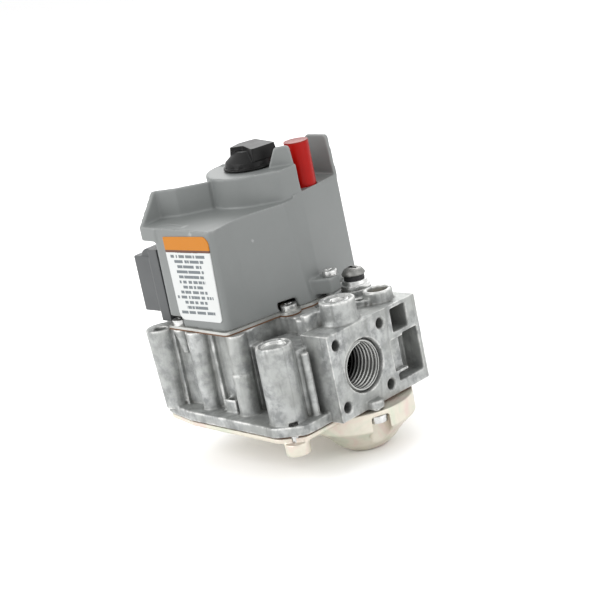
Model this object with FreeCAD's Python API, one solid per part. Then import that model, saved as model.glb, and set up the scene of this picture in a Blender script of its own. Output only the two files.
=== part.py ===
import FreeCAD, Part
import math
import os

# Combination gas control valve, millimetres.
# The origin is the centre of the outlet port's mouth: +X runs out of the outlet, +Y across its face, +Z up.

V = FreeCAD.Vector
X_AXIS = V(1, 0, 0)
Y_AXIS = V(0, 1, 0)
Z_AXIS = V(0, 0, 1)
PARTS = "parts"

# Pipe ports: 1/2 inch taper thread, 14 threads to the inch.
PIPE_PITCH = 25.4 / 14
PIPE_CREST_R = 9.25
PIPE_ROOT_R = 10.4
PIPE_MOUTH_R = 10.9
PIPE_CHAMFER = 0.7
PIPE_LAND = 0.5
PIPE_TURNS = 8
PIPE_DEPTH = 15.6
INLET_X = -98.0
INLET_Z = -1.4

# Flange faces around the ports.
FACE_Y0 = -17.1
FACE_Y1 = 34.3
FACE_Z0 = -17.65
FACE_Z1 = 17.6
BLOCK_X0 = -32.0
BOLT_HALF = 12.7
BOLT_R = 2.1
BOLT_MOUTH_R = 2.6
BOLT_DEPTH = 7.5
BOLT_CHAMFER = 0.5
THERMO_R = 4.2
THERMO_Z = -8.4
INLET_Z1 = 15.4
INLET_Y1 = 22.0

# Casting levels.
Z_BASE = -17.65
Z_FLANGE = -13.65
Z_LEDGE = 13.0
Z_DECK = 19.4
GASKET_T = 0.6
PLATE_T = 1.0
Z_PLATE = Z_DECK + GASKET_T
Z_COVER = Z_PLATE + PLATE_T

# Fluted wall: each column is (x, y, top radius, foot radius).
COL_WALL_Y = -25.0
COL_A = (-83.3, -27.5, 6.2, 4.6)
COL_B = (-62.8, -26.2, 4.9, 3.9)
COL_D = (-40.2, -27.0, 4.4, 4.2)
COL_A_HOLE = (-82.0, -28.8)
COL_A_HOLE_R = 2.6
RIB_X = -54.0
RIB_T = 1.6

# Corner column with a pressed plug in its top.
COL_E_X = -18.0
COL_E_Y = -28.0
COL_E_R = 7.4
COL_E_LIP_Z = 16.0
COL_E_TOP_Z = 17.6
COL_E_TOP_R = 6.9
COL_E_PLUG_R = 6.0
COL_E_PLUG_DEPTH = 2.2

# Taps on top of the outlet block: the plugged pressure tap over the port, and the open pilot outlet.
TAP_X = -8.2
TAP_Y = 0.0
TAP_TOP = 26.8
TAP_BOSS_R = 7.1
TAP_R = 4.8
TAP_DEPTH = 6.5
PILOT_X = -9.8
PILOT_Y = 24.4
PILOT_TOP = 22.4
PILOT_BOSS_R = 5.9
PILOT_R = 4.1
PILOT_DEPTH = 3.4
PILOT_SEAT_R = 3.6
PILOT_SEAT_DEPTH = 5.5

# Operator positions.
KNOB_X = -60.0
KNOB_Y = 18.0
BUTTON_X = -45.5
BUTTON_Y = 30.8
COILS = [(-67.0, -14.5), (-51.8, -14.5)]
REG_X = -26.0
REG_Y = 29.2
REG_R = 6.2
REG_BOSS_Z = 20.6
MAIN_X = -20.6
MAIN_Y = 8.3
MAIN_BORE_R = 5.4
DIAPHRAGM_R = 13.0
DIAPHRAGM_ROOM = 4.0
MAIN_SEAT_R = 4.0

# Screws: base plate screws go down into the casting, foot screws go up into it.
SCREW_R = 1.9
SCREW_HEAD_R = 3.3
SCREW_HEAD_H = 2.3
PLATE_SCREWS = [(-72.0, -25.6), (-34.4, -1.2), (-71.6, 42.6), (-48.0, 42.8)]
FOOT_SCREWS = [(-82.0, -17.0), (-52.0, -20.0), (-12.4, -31.4), (-58.0, 46.0), (-80.0, 44.0)]
DOME_X = -15.4
DOME_Y = 8.3
DOME_SCREW_R = 18.0
DOME_SCREW_ANGLES = (-25, 50, 122, 240)
DOME_SCREW_BORE = 2.2
DOME_BOSS_R = 3.6
DOME_BOSS_H = 3.2
FOOT_LUG_R = 4.9
FOOT_LUG_H = 2.0
FOOT_HEAD_R = 3.8
FOOT_HEAD_H = 2.8

# Bottom cover with its domed diaphragm housing.
FOOT_GASKET_T = 0.8
FOOT_PLATE_T = 2.0
Z_FOOT_GASKET = Z_BASE - FOOT_GASKET_T
Z_FOOT_PLATE = Z_FOOT_GASKET - FOOT_PLATE_T
DOME_R = 21.6
DOME_SHOULDER_Z = -26.0
DOME_HIP_R = 16.6
DOME_HIP_Z = -30.0
DOME_WAIST_R = 12.6
DOME_WAIST_Z = -34.4
DOME_FLOOR_R = 8.4
DOME_FLOOR_Z = -37.6
DOME_WALL = 1.8

# Plastic cover.  Each corner is (x, y, radius); the foot outline is at Z_COVER and the head outline at Z_SHELF.
COVER_WALL = 2.0
Z_SHELF = 61.5
Z_WELL = 62.5
Z_KNOB_DECK = 74.0
Z_HOOD = 55.7
HOOD_X = -84.0
HOOD_Y1 = 20.0
KNOB_DECK_R = 19.0
SIDE_SLOPE = -0.056
COVER_FOOT = [
    (-76.4, -27.5, 2.5),
    (-41.4, -27.5 + SIDE_SLOPE * 35.0, 3.4),
    (-38.6, -17.0, 6.0),
    (-36.6, -7.0, 8.0),
    (-31.0, 8.0, 4.0),
    (-32.0, 16.0, 3.0),
    (-43.2, 48.7, 3.0),
    (-77.6, 48.7, 4.0),
]
COVER_HEAD = [
    (-77.0, -26.6, 2.5),
    (-39.8, -26.6 + SIDE_SLOPE * 37.2, 2.6),
    (-41.9, -16.0, 6.0),
    (-41.6, -5.0, 8.0),
    (-36.8, 9.5, 4.0),
    (-37.8, 21.2, 3.0),
    (-42.2, 47.4, 2.2),
    (-77.0, 47.4, 4.0),
]
LOW_WALL = [(-66.0, -2.0), (-75.0, -11.6), (-84.0, -16.6)]
LOW_WALL_T = 1.8
Z_LOW_WALL = 73.0
NEAR_FIN = ((-46.2, 14.5), (-37.8, 21.2))
FIN_T = 1.8
Z_NEAR_FIN = 82.0
FAR_FIN_Y = 45.3
Z_FAR_FIN = 79.2
LUG_TOP = 29.0
LUG_BASE = 22.8
LUG_SCREW = (-28.0, 18.2)

# Push button, knob and their stems.
BUTTON_R = 5.0
BUTTON_TOP = 81.0
BUTTON_FOOT = 47.2
BUTTON_FLANGE_R = 6.8
BUTTON_FLAT = 3.2
GUIDE_R = 5.35
GUIDE_FOOT = 49.6
STEM_R = 1.9
STEM_FOOT = 0.2
SAFETY_DISC_R = 7.6
KNOB_R = 11.4
KNOB_TOP = 82.8
KNOB_BASE = 74.4
SHAFT_R = 3.0
SHAFT_HOLE_R = 3.5
MANUAL_DISC_R = 9.2
MANUAL_POCKET_Z = 11.0

# Solenoids.
COIL_R = 6.9
COIL_FLANGE_R = 7.3
BOBBIN_R = 4.6
BORE_R = 3.6
PLUNGER_R = 3.2
COIL_Z0 = 24.2
COIL_Z1 = 50.0
FLANGE_T = 1.0
FRAME_T = 1.4
SERVO_R = 5.2
SERVO_Z = 11.0

# Label on the sloped side of the cover: corners (x, z) and corner radii.
LABEL_T = 0.25
LABEL = [(-69.9, 58.2, 0.6), (-42.0, 59.8, 3.0), (-42.9, 24.8, 1.6), (-68.6, 24.1, 3.2)]

# Terminal block on the side of the cover, and its three 1/4 inch blades.
TERM_X0 = -93.6
TERM_X1 = -83.4
TERM_WALL_X = -78.0
TERM_Y0 = -25.0
TERM_Y1 = 13.0
TERM_Z0 = 25.2
TERM_Z1 = 48.4
TABS_Y = (-17.0, -6.0, 5.0)
TAB_W = 6.3
TAB_T = 0.8
TAB_Z = 36.5
TAB_POCKET_Y = 4.2
TAB_POCKET_Z = 6.5
TAB_POCKET_X = 7.4

# Grip of the knob: corners (x, y, radius) about the knob's axis.
GRIP = [(-5.8, -5.0, 0.7), (-0.8, -1.8, 1.6), (8.8, -6.6, 0.9), (11.2, 4.6, 0.9), (-4.6, 9.0, 0.9),
        (-7.4, 2.0, 1.5)]
GRIP_SPREAD = 0.4

# Safety valve under the button, and the thermocouple's union nut.
SAFETY_Z = -2.05
SAFETY_SEAT_Z = 0.0
SAFETY_SEAT_R = 6.0
SAFETY_ROOM_R = 8.5
POWER_TOP = -9.8
POWER_R = 5.6
NUT_Y = 49.0
NUT_HALF = 5.6

# Main valve disc and the pressure regulator's stack.
MAIN_SEAT_Z = -12.2
MAIN_DISC_TOP = -10.0
MAIN_DISC_R = 4.9
MAIN_BORE_TOP = 8.0
REG_LID_Z = 22.4
REG_CAP_R = 4.8
REG_CAP_Z = 26.0
REG_CAP_TOP = 28.8
REG_HOLE_R = 3.4


def box(x0, y0, z0, x1, y1, z1):
    return Part.makeBox(x1 - x0, y1 - y0, z1 - z0, V(x0, y0, z0))


def cyl(x, y, z0, z1, r):
    return Part.makeCylinder(r, z1 - z0, V(x, y, z0), Z_AXIS)


def cone(x, y, z0, z1, r0, r1):
    return Part.makeCone(r0, r1, z1 - z0, V(x, y, z0), Z_AXIS)


def ring(x, y, z0, z1, r_out, r_in):
    return cyl(x, y, z0, z1, r_out).cut(cyl(x, y, z0, z1, r_in))


def fuse(shapes):
    out = shapes[0]
    for shape in shapes[1:]:
        out = out.fuse(shape)
    return out.removeSplitter()


def cut(shape, tools):
    for tool in tools:
        shape = shape.cut(tool)
    return shape


def rounded_wire(corners, place):
    # Each corner is (a, b, radius) and becomes one arc, so two outlines with equal counts can be lofted.
    count = len(corners)
    arcs = []
    for i in range(count):
        p = place(corners[i][0], corners[i][1])
        to_before = (place(corners[i - 1][0], corners[i - 1][1]) - p).normalize()
        after = corners[(i + 1) % count]
        to_after = (place(after[0], after[1]) - p).normalize()
        half = to_before.getAngle(to_after) / 2
        radius = corners[i][2]
        reach = radius / math.tan(half)
        bisector = (to_before + to_after).normalize()
        middle = p + bisector * (radius / math.sin(half) - radius)
        arcs.append((p + to_before * reach, middle, p + to_after * reach))
    edges = []
    for i in range(count):
        edges.append(Part.Arc(arcs[i][0], arcs[i][1], arcs[i][2]).toShape())
        edges.append(Part.makeLine(arcs[i][2], arcs[(i + 1) % count][0]))
    return Part.Wire(edges)


def flat_wire(corners, z):
    return rounded_wire(corners, lambda a, b: V(a, b, z))


def rounded_prism(corners, z0, z1):
    return Part.Face(flat_wire(corners, z0)).extrude(V(0, 0, z1 - z0))


def tapered(corners0, z0, corners1, z1):
    return Part.makeLoft([flat_wire(corners0, z0), flat_wire(corners1, z1)], True, True)


def prism(points, z0, z1):
    pts = [V(p[0], p[1], z0) for p in points]
    return Part.Face(Part.makePolygon(pts + [pts[0]])).extrude(V(0, 0, z1 - z0))


def inset(corners, amount):
    # Moves every side inward by the same amount and keeps one arc per corner; the outlines run anticlockwise.
    count = len(corners)
    out = []
    for i in range(count):
        p = V(corners[i][0], corners[i][1], 0)
        before = corners[i - 1]
        after = corners[(i + 1) % count]
        d0 = (p - V(before[0], before[1], 0)).normalize()
        d1 = (V(after[0], after[1], 0) - p).normalize()
        n0 = V(-d0.y, d0.x, 0)
        n1 = V(-d1.y, d1.x, 0)
        q = p + (n0 + n1) * (amount / (1 + n0.dot(n1)))
        turn = d0.x * d1.y - d0.y * d1.x
        radius = corners[i][2] - math.copysign(amount, turn)
        out.append((q.x, q.y, max(radius, 0.4)))
    return out


def revolve_z(profile, x, y):
    # The profile is a closed list of (radius, height).
    pts = [V(x + r, y, z) for r, z in profile]
    return Part.Face(Part.makePolygon(pts + [pts[0]])).revolve(V(x, y, 0), Z_AXIS, 360)


def revolve_x(profile):
    # The profile is a closed list of (x, radius) about the port axis.
    pts = [V(x, 0, r) for x, r in profile]
    return Part.Face(Part.makePolygon(pts + [pts[0]])).revolve(V(0, 0, 0), X_AXIS, 360)


def helix_spring(x, y, z0, z1, r, wire_r, turns):
    height = z1 - z0 - 2 * wire_r
    pitch = height / turns
    path = Part.Wire(Part.makeHelix(pitch, height, r).Edges)
    path.translate(V(x, y, z0 + wire_r))
    section = Part.Wire(Part.makeCircle(wire_r, V(x + r, y, z0 + wire_r), Y_AXIS))
    return Part.Solid(path.makePipeShell([section], True, True))


def save(name, shapes):
    shape = shapes[0] if len(shapes) == 1 else Part.makeCompound(shapes)
    shape.exportStep(os.path.join(PARTS, name + ".step"))


# ---- casting ----

def pipe_bore(mouth_x, mouth_z, side):
    # side is +1 where the mouth faces +X and -1 where it faces -X; the ring grooves stand for the taper thread.
    profile = [(1.0, 0.0), (1.0, PIPE_MOUTH_R), (0.0, PIPE_MOUTH_R), (-PIPE_CHAMFER, PIPE_CREST_R)]
    x = -PIPE_CHAMFER
    for _ in range(PIPE_TURNS):
        x -= PIPE_LAND
        profile.append((x, PIPE_CREST_R))
        profile.append((x - (PIPE_PITCH - PIPE_LAND) / 2, PIPE_ROOT_R))
        x -= PIPE_PITCH - PIPE_LAND
        profile.append((x, PIPE_CREST_R))
    profile.append((-PIPE_DEPTH, PIPE_CREST_R))
    profile.append((-PIPE_DEPTH, 0.0))
    bore = revolve_x([(mouth_x + side * x, r) for x, r in profile])
    bore.translate(V(0, 0, mouth_z))
    return bore


def bolt_holes(face_x, face_z, side):
    holes = []
    inward = V(-side, 0, 0)
    for y in (-BOLT_HALF, BOLT_HALF):
        for z in (face_z - BOLT_HALF, face_z + BOLT_HALF):
            holes.append(Part.makeCylinder(BOLT_R, BOLT_DEPTH + 1, V(face_x + side, y, z), inward))
            holes.append(Part.makeCone(BOLT_MOUTH_R, BOLT_R, BOLT_CHAMFER, V(face_x, y, z), inward))
    return holes


def casting_mass():
    deck = [(-86, COL_WALL_Y, 3), (-38, COL_WALL_Y - 0.6, 3), (-37.4, -6, 2), (-22, -5, 2), (-22, 3, 3),
            (-31, 9, 3), (-31.4, 18, 3), (-42.0, 49, 3), (-80, 49, 4), (-86, 40, 3)]
    ledge = [(-39, -22, 1), (-25, -23, 3), (-12.5, -25, 3), (-11, 0, 2), (-30, 2, 2)]
    return [
        rounded_prism(deck, Z_BASE, Z_DECK),
        rounded_prism(ledge, Z_BASE, Z_LEDGE),
        box(BLOCK_X0, -5.0, FACE_Z0, 0, FACE_Y1, FACE_Z1),
        box(-14.0, FACE_Y0, FACE_Z0, 0, -4.0, FACE_Z1),
        box(INLET_X, FACE_Y0, FACE_Z0, -80, INLET_Y1, INLET_Z1),
    ]


def foot_outline():
    return [(-89.5, -28.5, 3), (-70, -33.4, 8), (-27, -36.6, 5), (-17, -37.6, 6), (-6.3, -31, 5), (-6.3, 33, 4),
            (-42, 52, 6), (-82, 52, 6), (-89.5, 42, 5)]


def wall_columns():
    foot = Z_FLANGE - 1
    back = COL_WALL_Y + 1
    ax, ay, a_top, a_foot = COL_A
    bx, by, b_top, b_foot = COL_B
    dx, dy, d_top, d_foot = COL_D
    return [
        cone(ax, ay, foot, Z_DECK, a_foot, a_top),
        box(ax - 3.5, ay - 2, foot, ax + 4, back, Z_DECK),
        cone(bx, by, foot, Z_DECK, b_foot, b_top),
        box(RIB_X - RIB_T / 2, COL_WALL_Y - 2.6, foot, RIB_X + RIB_T / 2, back, Z_DECK),
        cyl(dx, dy, foot, 3.5, d_foot),
        cyl(dx, dy + 0.6, 3.5, Z_DECK, d_top - 0.4),
        box(-52, COL_WALL_Y - 4, foot, -46, back, -8.2),
        box(-77.6, COL_WALL_Y - 2.0, foot, -76.4, back, Z_DECK),
        cone(PLATE_SCREWS[0][0], PLATE_SCREWS[0][1], 9, Z_DECK, 1.4, 3.9),
    ]


def corner_column():
    shaft = cyl(COL_E_X, COL_E_Y, Z_FLANGE - 1, COL_E_LIP_Z, COL_E_R)
    lip = cone(COL_E_X, COL_E_Y, COL_E_LIP_Z, COL_E_TOP_Z, COL_E_R, COL_E_TOP_R)
    web = box(COL_E_X - 4, COL_E_Y, Z_BASE, COL_E_X + 5, -18, Z_LEDGE)
    flutes = [cyl(x, -20.5, Z_FLANGE - 1, Z_LEDGE - 1, 1.6) for x in (-12.4, -10.0)]
    return [shaft, lip, web] + flutes


def top_bosses():
    rib = [(-26.4, -7.4, 1.2), (-18.6, -6.4, 1.2), (-18, 4, 1.2), (-27, 4, 1.2)]
    tap_web = [(-17.4, -12.4, 1.0), (-13.4, -13.0, 1.0), (-12.6, 0, 1.0), (-17.0, 0, 1.0)]
    return [
        cyl(TAP_X, TAP_Y, 10, TAP_TOP, TAP_BOSS_R),
        box(TAP_X - TAP_BOSS_R, TAP_Y - 6.5, 10, TAP_X + 2, TAP_Y, TAP_TOP - 3.2),
        rounded_prism(tap_web, 10, TAP_TOP - 3.2),
        cone(TAP_X, TAP_Y, FACE_Z1 - 1, FACE_Z1 + 3, TAP_BOSS_R + 1.0, TAP_BOSS_R - 0.2),
        cyl(PILOT_X, PILOT_Y, 14, PILOT_TOP, PILOT_BOSS_R),
        cyl(-13.6, 17.6, 14, 20.0, 3.4),
        box(-16.2, 17.0, 14, -9.0, 23.0, 20.0),
        cyl(REG_X, REG_Y, 10, REG_BOSS_Z, REG_R),
        cyl(LUG_SCREW[0], LUG_SCREW[1], 10, LUG_BASE, 3.2),
        rounded_prism(rib, 0, 19.2),
    ]


def face_pockets():
    # Cored pockets in the outlet face beside the port.
    return [
        box(-9, 19.0, 6.6, 1, 28.0, 16.0),
        box(-9, 23.6, -13.2, 1, 32.2, 4.9),
        box(-2.6, 16.4, -9.0, 1, 23.7, 4.0),
        box(-7.0, 17.8, -13.2, 1, 23.7, -10.2),
    ]


def inner_passages():
    # Inlet gallery, safety chamber, manual chamber, main chamber and the drillings between them.
    top = Z_DECK + 1
    coil_pockets = [cyl(x, y, SERVO_Z, top, SERVO_R) for x, y in COILS]
    return coil_pockets + [
        Part.makeCylinder(8.0, 20, V(INLET_X + PIPE_DEPTH - 0.5, 0, INLET_Z), X_AXIS),
        Part.makeCylinder(5.0, 32, V(-72, 0, 0), Y_AXIS),
        Part.makeCylinder(4.0, 20, V(-72, BUTTON_Y, -6), X_AXIS),
        cyl(BUTTON_X, BUTTON_Y, Z_BASE - 1, SAFETY_SEAT_Z, SAFETY_ROOM_R),
        cyl(BUTTON_X, BUTTON_Y, SAFETY_SEAT_Z, top, SAFETY_SEAT_R),
        Part.makeCylinder(2.4, 12, V(BUTTON_X, BUTTON_Y, 14.6), V(KNOB_X - BUTTON_X, KNOB_Y - BUTTON_Y, 0)),
        cyl(KNOB_X, KNOB_Y, MANUAL_POCKET_Z, top, 9.8),
        cyl(KNOB_X, KNOB_Y, -2, MANUAL_POCKET_Z + 1, 4.0),
        Part.makeCylinder(4.0, 34, V(-58, 12.0, 2.0), X_AXIS),
        Part.makeCylinder(4.6, 9, V(-24, -2.8, 0), X_AXIS),
        cyl(-19.5, -2.8, Z_BASE - 1, 0, 4.0),
        cyl(TAP_X, TAP_Y, PIPE_CREST_R - 1, TAP_TOP - TAP_DEPTH + 1, 1.2),
        cyl(MAIN_X, MAIN_Y, Z_BASE - 1, Z_BASE + DIAPHRAGM_ROOM, DIAPHRAGM_R),
        cyl(MAIN_X, MAIN_Y, Z_BASE, MAIN_SEAT_Z, MAIN_SEAT_R),
        cyl(MAIN_X, MAIN_Y, MAIN_SEAT_Z, MAIN_BORE_TOP, MAIN_BORE_R),
        cyl(REG_X, REG_Y, 9, REG_BOSS_Z + 1, 4.8),
    ]


def dome_screws():
    out = []
    for degrees in DOME_SCREW_ANGLES:
        angle = math.radians(degrees)
        out.append((DOME_X + DOME_SCREW_R * math.cos(angle), DOME_Y + DOME_SCREW_R * math.sin(angle)))
    return out


def screw_bores():
    plate = [cyl(x, y, Z_DECK - 7, Z_DECK + 1, SCREW_R) for x, y in PLATE_SCREWS]
    foot = [cyl(x, y, Z_BASE - 1, Z_BASE + 5, SCREW_R) for x, y in FOOT_SCREWS]
    dome = [cyl(x, y, Z_BASE - 1, Z_BASE + DOME_SCREW_BORE, SCREW_R) for x, y in dome_screws()]
    lug = [cyl(LUG_SCREW[0], LUG_SCREW[1], LUG_BASE - 8, LUG_BASE + 1, SCREW_R)]
    return plate + foot + dome + lug


def valve_body():
    mass = casting_mass() + wall_columns() + corner_column() + top_bosses()
    mass.append(rounded_prism(foot_outline(), Z_BASE, Z_FLANGE))
    mass.append(cyl(*dome_screws()[0], Z_BASE, Z_BASE + DOME_BOSS_H, DOME_BOSS_R))
    tools = [pipe_bore(0, 0, 1), pipe_bore(INLET_X, INLET_Z, -1)]
    tools += bolt_holes(0, 0, 1) + bolt_holes(INLET_X, INLET_Z, -1)
    tools += face_pockets() + inner_passages() + screw_bores()
    tools.append(cyl(COL_E_X, COL_E_Y, COL_E_TOP_Z - COL_E_PLUG_DEPTH, COL_E_TOP_Z + 1, COL_E_PLUG_R))
    tools.append(cyl(COL_A_HOLE[0], COL_A_HOLE[1], Z_DECK - 6, Z_DECK + 1, COL_A_HOLE_R))
    tools.append(cyl(TAP_X, TAP_Y, TAP_TOP - TAP_DEPTH, TAP_TOP + 1, TAP_R))
    tools.append(cyl(PILOT_X, PILOT_Y, PILOT_TOP - PILOT_DEPTH, PILOT_TOP + 1, PILOT_R))
    tools.append(cyl(PILOT_X, PILOT_Y, PILOT_TOP - PILOT_SEAT_DEPTH, PILOT_TOP, PILOT_SEAT_R))
    tools.append(cyl(-13.6, 17.6, 16.0, 21.0, 1.8))
    tools.append(box(-33.6, -30, -11.0, -26.5, -17.5, Z_DECK + 1))
    tools.append(box(-51.2, COL_WALL_Y - 3.2, -10.4, -46.8, COL_WALL_Y - 0.4, -7))
    tools.append(Part.makeCylinder(THERMO_R, 14, V(BUTTON_X, BUTTON_Y + 8, THERMO_Z), Y_AXIS))
    return cut(fuse(mass), tools)


# ---- seals and sheet metal around the casting ----

def plate_outline():
    return inset(COVER_FOOT, -1.0)


def plate_sheet(z0, z1):
    tab = cyl(PLATE_SCREWS[1][0], PLATE_SCREWS[1][1], z0, z1, 4.6)
    sheet = fuse([rounded_prism(plate_outline(), z0, z1), tab])
    holes = [cyl(x, y, z0, z1, SCREW_R) for x, y in PLATE_SCREWS]
    holes += [cyl(x, y, z0, z1, BORE_R + 0.4) for x, y in COILS]
    holes.append(cyl(KNOB_X, KNOB_Y, z0, z1, SHAFT_HOLE_R))
    holes.append(cyl(BUTTON_X, BUTTON_Y, z0, z1, STEM_R + 0.5))
    holes.append(cyl(LUG_SCREW[0], LUG_SCREW[1], z0, z1, 3.5))
    holes.append(cyl(REG_X, REG_Y, z0, z1, REG_R + 0.6))
    return cut(sheet, holes)


def foot_sheet(z0, z1):
    rim = cyl(DOME_X, DOME_Y, z0, z1, DOME_R)
    sheet = fuse([rounded_prism(inset(foot_outline(), 0.9), z0, z1), rim])
    return cut(sheet, [cyl(x, y, z0, z1, SCREW_R) for x, y in FOOT_SCREWS + dome_screws()])


def foot_gasket():
    # The gasket stays a little inside the casting's edge, also where the cover's dome reaches past it.
    sheet = foot_sheet(Z_FOOT_GASKET, Z_BASE)
    inner = rounded_prism(inset(foot_outline(), 1.6), Z_FOOT_GASKET, Z_BASE)
    block = box(BLOCK_X0, FACE_Y0 + 1, Z_FOOT_GASKET, -1.5, FACE_Y1 - 1, Z_BASE)
    sheet = sheet.common(fuse([inner, block]))
    return sheet.cut(cyl(MAIN_X, MAIN_Y, Z_FOOT_GASKET, Z_BASE, DIAPHRAGM_R))


def dome_profile(shrink, top):
    return [
        (0, top),
        (DOME_R - shrink, top),
        (DOME_R - shrink, DOME_SHOULDER_Z + shrink * 0.4),
        (DOME_HIP_R - shrink * 0.7, DOME_HIP_Z + shrink * 0.7),
        (DOME_WAIST_R - shrink * 0.6, DOME_WAIST_Z + shrink),
        (DOME_FLOOR_R - shrink * 0.4, DOME_FLOOR_Z + shrink),
        (0, DOME_FLOOR_Z + shrink),
    ]


def bottom_cover():
    outer = fuse([
        foot_sheet(Z_FOOT_PLATE, Z_FOOT_GASKET),
        revolve_z(dome_profile(0, Z_FOOT_PLATE), DOME_X, DOME_Y),
        cyl(*FOOT_SCREWS[2], Z_FOOT_PLATE - FOOT_LUG_H - FOOT_HEAD_H, Z_FOOT_PLATE, FOOT_LUG_R),
    ])
    tools = [revolve_z(dome_profile(DOME_WALL, Z_FOOT_PLATE - 0.5), DOME_X, DOME_Y)]
    tools.append(cyl(MAIN_X, MAIN_Y, Z_FOOT_PLATE - 1, Z_FOOT_GASKET, 13.0))
    for x, y in dome_screws():
        tools.append(cyl(x, y, DOME_FLOOR_Z - 1, Z_FOOT_PLATE, FOOT_HEAD_R + 0.9))
    for x, y in dome_screws() + FOOT_SCREWS:
        tools.append(cyl(x, y, Z_FOOT_PLATE - 3, Z_FOOT_GASKET, SCREW_R))
    seat = Z_FOOT_PLATE - FOOT_LUG_H
    tools.append(cyl(*FOOT_SCREWS[2], seat - FOOT_HEAD_H - 1, seat, FOOT_HEAD_R + 0.15))
    body = cut(outer, tools)
    pockets = [dome_scallop(x, y) for x, y in dome_screws()]
    return fuse([body] + pockets)


def dome_scallop(x, y):
    # Closed wall around a screw recess, so the dome stays one sealed shell.
    shell = ring(x, y, DOME_FLOOR_Z, Z_FOOT_PLATE, FOOT_HEAD_R + 2.3, FOOT_HEAD_R + 0.9)
    return shell.common(revolve_z(dome_profile(0, Z_FOOT_PLATE), DOME_X, DOME_Y))


def pan_screw(x, y, z_seat, length, head_r, head_h, up):
    # up is +1 for a head above its seat and -1 for a head below it.
    head = Part.makeCylinder(head_r, head_h, V(x, y, z_seat), Z_AXIS * up)
    shank = Part.makeCylinder(SCREW_R - 0.02, length, V(x, y, z_seat), Z_AXIS * -up)
    slot_a = box(x - head_r * 0.6, y - 0.4, 0, x + head_r * 0.6, y + 0.4, 1.2)
    slot_b = box(x - 0.4, y - head_r * 0.6, 0, x + 0.4, y + head_r * 0.6, 1.2)
    slot = fuse([slot_a, slot_b])
    slot.translate(V(0, 0, z_seat + (head_h - 1.0 if up > 0 else -head_h - 0.2)))
    return fuse([head, shank]).cut(slot)


# ---- plastic cover ----

def deck_outline():
    return [(-52, 1.2, 2.0), (-45, 5.8, 6.0), (-38.8, 11.6, 3.0), (-37.8, 21.2, 1.2), (-50, 30, 1.0),
            (-56, 20, 1.0)]


def knob_deck(shrink, z0, z1):
    disc = cyl(KNOB_X, KNOB_Y, z0, z1, KNOB_DECK_R - shrink)
    wedge = rounded_prism(inset(deck_outline(), shrink), z0, z1)
    return fuse([disc, wedge])


def wall_strip(points, thick, z0, z1):
    # Upright strip along an open line, thickened to its left side.
    strips = []
    for a, b in zip(points[:-1], points[1:]):
        d = V(b[0] - a[0], b[1] - a[1], 0).normalize()
        n = V(d.y, -d.x, 0) * thick
        strips.append(prism([a, b, (b[0] + n.x, b[1] + n.y), (a[0] + n.x, a[1] + n.y)], z0, z1))
        strips.append(cyl(a[0] + n.x / 2, a[1] + n.y / 2, z0, z1, thick / 2))
    return strips


def near_fin():
    (x0, y0), (x1, y1) = NEAR_FIN
    along = V(x1 - x0, y1 - y0, 0)
    length = along.Length
    along.normalize()
    origin = V(x0, y0, 0)
    outline = [(-1.0, 61.0, 0.3), (length, 61.0, 0.3), (length - 1.6, Z_NEAR_FIN, 1.3), (3.2, Z_NEAR_FIN, 1.6),
               (-0.2, 74.6, 2.0)]
    wire = rounded_wire(outline, lambda a, b: origin + along * a + V(0, 0, b))
    return Part.Face(wire).extrude(V(-along.y, along.x, 0) * FIN_T)


def far_fin():
    outline = [(-56.5, 61.0, 0.3), (-42.2, 61.0, 0.3), (-43.4, Z_FAR_FIN, 1.6), (-55.2, Z_FAR_FIN, 1.6)]
    wire = rounded_wire(outline, lambda a, b: V(a, FAR_FIN_Y, b))
    return Part.Face(wire).extrude(V(0, FIN_T, 0))


def gusset():
    # Sloping continuation of the hood's outer side, from the low wall down to the front of the shelf.
    side = [(-15.0, 60), (-15.0, Z_LOW_WALL), (-16.8, Z_LOW_WALL), (-26.2, Z_SHELF), (-26.2, 60)]
    pts = [V(HOOD_X, y, z) for y, z in side]
    return Part.Face(Part.makePolygon(pts + [pts[0]])).extrude(V(LOW_WALL_T, 0, 0))


def cover_lug():
    # Moulded screw lug low on the right side of the cover.
    outline = [(-37.6, 8.2, 0.5), (-24.4, 14.6, 1.4), (-25.4, 21.4, 1.4), (-37.6, 19.5, 0.5)]
    return rounded_prism(outline, LUG_BASE, LUG_TOP)


def shelf_frame():
    # Faint raised outline on the shelf and the index mark on the knob deck.
    outer = prism([(-74, -24.2), (-60, -24.8), (-60, -21.4), (-74, -20.8)], Z_SHELF - 0.2, Z_SHELF + 0.3)
    opening = [(-73.2, -23.4), (-60.8, -24.0), (-60.8, -22.2), (-73.2, -21.6)]
    inner = prism(opening, Z_SHELF - 0.2, Z_SHELF + 0.4)
    pointer = [(-77.2, 16.4), (-73.4, 16.8), (-73.4, 18.6), (-77.2, 18.8)]
    mark = prism(pointer, Z_KNOB_DECK - 0.2, Z_KNOB_DECK + 0.6)
    return [outer.cut(inner), mark]


def cover_outer():
    hood_outline = [(HOOD_X, -26.9, 1.2), (-74, -27.4, 0.6), (-74, HOOD_Y1, 0.6), (HOOD_X, HOOD_Y1, 1.2)]
    hood = rounded_prism(hood_outline, Z_HOOD, Z_SHELF)
    well_area = box(-62, 16, Z_SHELF - 0.5, -36, 48, Z_WELL)
    well = rounded_prism(COVER_HEAD, Z_SHELF - 0.5, Z_WELL).common(well_area)
    shell = tapered(COVER_FOOT, Z_COVER, COVER_HEAD, Z_SHELF)
    shapes = [shell, hood, well, knob_deck(0, Z_SHELF - 0.5, Z_KNOB_DECK)]
    walls = fuse(wall_strip(LOW_WALL, LOW_WALL_T, Z_SHELF - 0.5, Z_LOW_WALL))
    shapes.append(walls.common(box(HOOD_X, -30, Z_SHELF - 1, -40, 10, Z_LOW_WALL)))
    shapes += [near_fin(), far_fin(), gusset(), cover_lug()] + shelf_frame()
    return fuse(shapes)


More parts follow.
